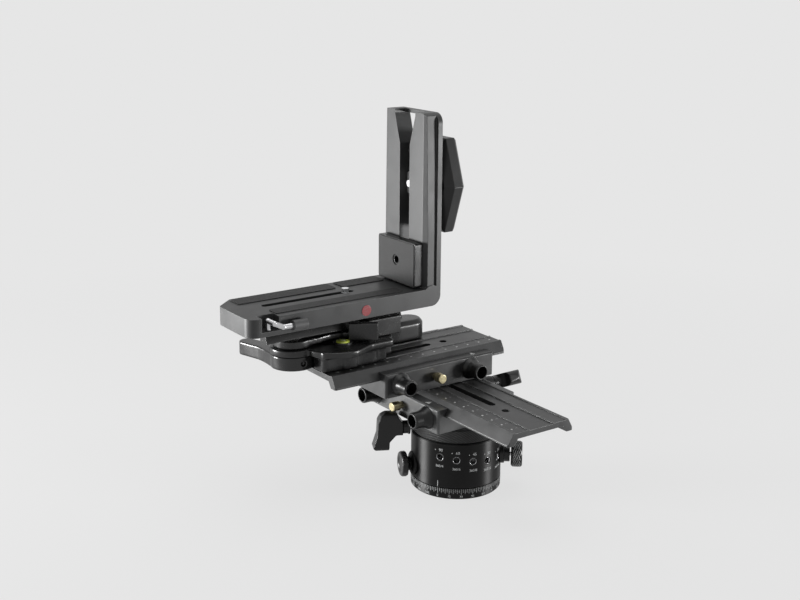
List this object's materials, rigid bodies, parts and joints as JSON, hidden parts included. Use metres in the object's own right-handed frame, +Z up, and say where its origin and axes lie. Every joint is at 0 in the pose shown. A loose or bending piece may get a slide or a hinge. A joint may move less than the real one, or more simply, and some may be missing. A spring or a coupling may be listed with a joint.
{
  "type": "panoramic camera head",
  "caption": "Panoramic camera head: click-stop turning base, two crossed dovetail slides, quick-release clamp and an L-shaped bracket with a sliding camera screw.",
  "frame": {"origin": "centre of the drum's flat underside, at the mouth of the tripod thread", "axes": "+Z up along the turning axis; +X along the upper sliding plate towards the bracket's upright; -Y along the lower sliding plate towards its long end"},
  "size_m": [0.2759, 0.2564, 0.326],
  "materials": {
    "black_anodised": "satin",
    "grey_anodised": "satin",
    "plain_aluminium": "satin",
    "dark_casting": "satin",
    "steel": "brushed",
    "chrome": "polished",
    "brass": "satin",
    "black_plastic": "matte",
    "rubber": "matte",
    "red_badge": "gloss",
    "vial_glass": "gloss"
  },
  "bodies": {
    "base": {"base_ring": "black_anodised", "tripod_bush": "steel", "index_core": "plain_aluminium", "index_rings": "plain_aluminium", "core_screws": "steel", "post_nut": "steel"},
    "head": {"drum_body": "black_anodised", "drum_bearing": "brass", "retainer_disc": "plain_aluminium", "retainer_screws": "steel", "lock_seat": "black_anodised", "index_collar": "black_anodised"},
    "pan_lock": {"lock_knob": "black_plastic", "lock_screw": "steel"},
    "pan_lock_shoe": {"lock_shoe": "brass"},
    "plunger": {"index_knob": "black_anodised", "index_pin": "steel"},
    "platform": {"collar_ring": "black_anodised", "lower_carriage": "grey_anodised", "lower_bosses": "black_anodised", "lower_lock_boss": "black_anodised", "collar_screws": "steel"},
    "platform_lock": {"platform_lever": "black_plastic", "platform_screw": "steel"},
    "platform_lock_shoe": {"platform_shoe": "brass"},
    "lower_gib": {"lower_gib": "grey_anodised"},
    "lower_release": {"lower_pin": "brass"},
    "lower_lock": {"lower_lever": "black_plastic", "lower_lever_screw": "steel"},
    "cross_slide": {"lower_plate": "grey_anodised", "upper_carriage": "grey_anodised", "upper_bosses": "black_anodised", "upper_lock_boss": "black_anodised", "stage_screws": "steel"},
    "upper_gib": {"upper_gib": "grey_anodised"},
    "upper_release": {"upper_pin": "brass"},
    "upper_lock": {"upper_lever": "black_plastic", "upper_lever_screw": "steel"},
    "top_slide": {"upper_plate": "grey_anodised", "clamp_body": "dark_casting", "fixed_jaw": "dark_casting", "clamp_screws": "steel", "bubble_ring": "dark_casting", "bubble_vial": "vial_glass"},
    "clamp_handle": {"clamp_lever": "dark_casting", "clamp_arm": "dark_casting", "clamp_pivot": "steel"},
    "clamp_jaw": {"moving_jaw": "dark_casting"},
    "bracket": {"bracket_plate": "grey_anodised", "bracket_shoe": "dark_casting", "rubber_strips": "rubber", "badge_disc": "red_badge"},
    "arm_screw": {"arm_screw": "chrome"},
    "catch": {"catch_rod": "chrome", "catch_sleeve": "plain_aluminium"},
    "rest": {"camera_rest": "dark_casting", "rest_facing": "rubber"},
    "guide": {"screw_guide": "plain_aluminium"},
    "camera_screw": {"camera_screw": "steel", "camera_knob": "black_plastic"}
  },
  "joints": [
    {"name": "pan", "type": "hinge", "parent": "base", "child": "head", "pos_m": [0, 0, 0], "axis": [0, 0, 1], "continuous": true},
    {"name": "platform_turn", "type": "hinge", "parent": "head", "child": "platform", "pos_m": [0, 0, 0.0563], "axis": [0, 0, 1], "continuous": true},
    {"name": "pan_lock_turn", "type": "hinge", "parent": "head", "child": "pan_lock", "pos_m": [-0.04496, 0.01681, 0.0212], "axis": [-0.9367, 0.3502, 0], "range_deg": [0, 90]},
    {"name": "pan_lock_press", "type": "slide", "parent": "head", "child": "pan_lock_shoe", "axis": [0.9367, -0.3502, 0], "range_m": [0, 0.0003]},
    {"name": "index_pull", "type": "slide", "parent": "head", "child": "plunger", "axis": [0.7547, -0.6561, 0], "range_m": [0, 0.004], "stiffness_N_per_m": 800},
    {"name": "platform_lock_turn", "type": "hinge", "parent": "platform", "child": "platform_lock", "pos_m": [-0.04455, 0.0227, 0.0534], "axis": [-0.891, 0.454, 0], "range_deg": [-40, 0]},
    {"name": "platform_lock_press", "type": "slide", "parent": "platform", "child": "platform_lock_shoe", "axis": [0.891, -0.454, 0], "range_m": [0, 0.0003]},
    {"name": "lower_lock_turn", "type": "hinge", "parent": "platform", "child": "lower_lock", "pos_m": [0.062, 0.0243, 0.0732], "axis": [1, 0, 0], "range_deg": [-60, 0]},
    {"name": "lower_gib_press", "type": "slide", "parent": "platform", "child": "lower_gib", "axis": [-1, 0, 0], "range_m": [0, 0.0003]},
    {"name": "lower_release_press", "type": "slide", "parent": "platform", "child": "lower_release", "axis": [1, 0, 0], "range_m": [0, 0.003], "stiffness_N_per_m": 500},
    {"name": "lower_plate_slide", "type": "slide", "parent": "platform", "child": "cross_slide", "axis": [0, -1, 0], "range_m": [-0.02, 0.08]},
    {"name": "upper_lock_turn", "type": "hinge", "parent": "cross_slide", "child": "upper_lock", "pos_m": [-0.0161, 0.1146, 0.0987], "axis": [0, 1, 0], "range_deg": [-60, 0]},
    {"name": "upper_gib_press", "type": "slide", "parent": "cross_slide", "child": "upper_gib", "axis": [0, -1, 0], "range_m": [0, 0.0003]},
    {"name": "upper_release_press", "type": "slide", "parent": "cross_slide", "child": "upper_release", "axis": [0, 1, 0], "range_m": [0, 0.003], "stiffness_N_per_m": 500},
    {"name": "upper_plate_slide", "type": "slide", "parent": "cross_slide", "child": "top_slide", "axis": [1, 0, 0], "range_m": [-0.046, 0.046]},
    {"name": "clamp_turn", "type": "hinge", "parent": "top_slide", "child": "clamp_handle", "pos_m": [-0.127, 0.068, 0.125], "axis": [0, 0, 1], "range_deg": [-50, 0]},
    {"name": "clamp_jaw_open", "type": "slide", "parent": "top_slide", "child": "clamp_jaw", "axis": [0, -1, 0], "range_m": [0, 0.0012]},
    {"name": "bracket_slide", "type": "slide", "parent": "top_slide", "child": "bracket", "axis": [1, 0, 0], "range_m": [-0.03, 0.03]},
    {"name": "arm_screw_slide", "type": "slide", "parent": "bracket", "child": "arm_screw", "axis": [1, 0, 0], "range_m": [-0.075, 0.004]},
    {"name": "catch_fold", "type": "hinge", "parent": "bracket", "child": "catch", "pos_m": [-0.164, 0.0436, 0.1618], "axis": [0, 0, 1], "range_deg": [-62, 0]},
    {"name": "rest_slide", "type": "slide", "parent": "bracket", "child": "rest", "axis": [0, 0, 1], "range_m": [0, 0.02]},
    {"name": "guide_slide", "type": "slide", "parent": "bracket", "child": "guide", "axis": [0, 0, 1], "range_m": [-0.01, 0.03]},
    {"name": "camera_screw_turn", "type": "hinge", "parent": "guide", "child": "camera_screw", "pos_m": [0.01, 0.0735, 0.2598], "axis": [1, 0, 0], "continuous": true}
  ],
  "couplings": [
    {"joint": "pan_lock_press", "follows": "pan_lock_turn", "m_per_rad": 0.00019079},
    {"joint": "platform_lock_press", "follows": "platform_lock_turn", "m_per_rad": -0.00042929},
    {"joint": "lower_gib_press", "follows": "lower_lock_turn", "m_per_rad": -0.00028619},
    {"joint": "upper_gib_press", "follows": "upper_lock_turn", "m_per_rad": -0.00028619},
    {"joint": "clamp_jaw_open", "follows": "clamp_turn", "m_per_rad": -0.0013737}
  ]
}
